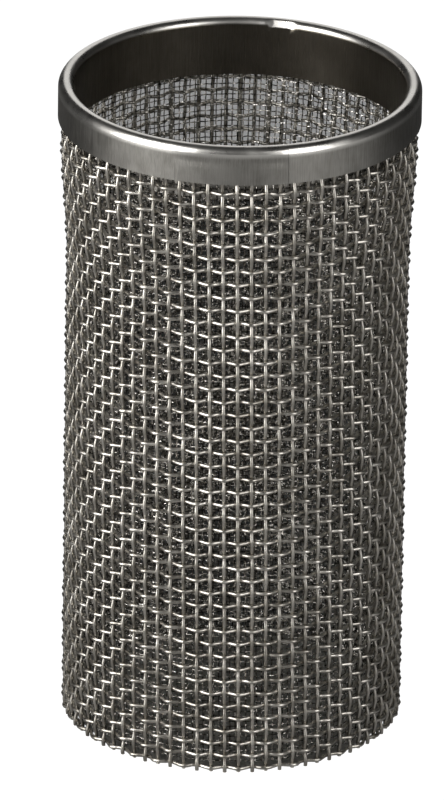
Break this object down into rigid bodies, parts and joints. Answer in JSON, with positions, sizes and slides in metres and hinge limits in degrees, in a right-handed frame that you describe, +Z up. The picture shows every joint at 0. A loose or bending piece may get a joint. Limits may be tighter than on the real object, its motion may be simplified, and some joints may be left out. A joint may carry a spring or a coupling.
{
  "type": "strainer screen",
  "caption": "Cylindrical strainer screen: fine woven wire cloth inside a coarse one, clamped at one end in a rounded sheet ring, open at the other.",
  "frame": {"origin": "centre of the open foot, on the plane of the lowest wire ends", "axes": "+Z up along the axis to the ring, -Y towards the front of the picture"},
  "size_m": [0.0414, 0.0414, 0.0776],
  "materials": {
    "ring_sheet": "brushed along the axis, satin",
    "coarse_wire": "drawn bright wire",
    "fine_wire": "drawn bright wire"
  },
  "bodies": {
    "root": {"end_ring": "ring_sheet", "support_mesh": "coarse_wire", "filter_mesh": "fine_wire"}
  },
  "joints": []
}
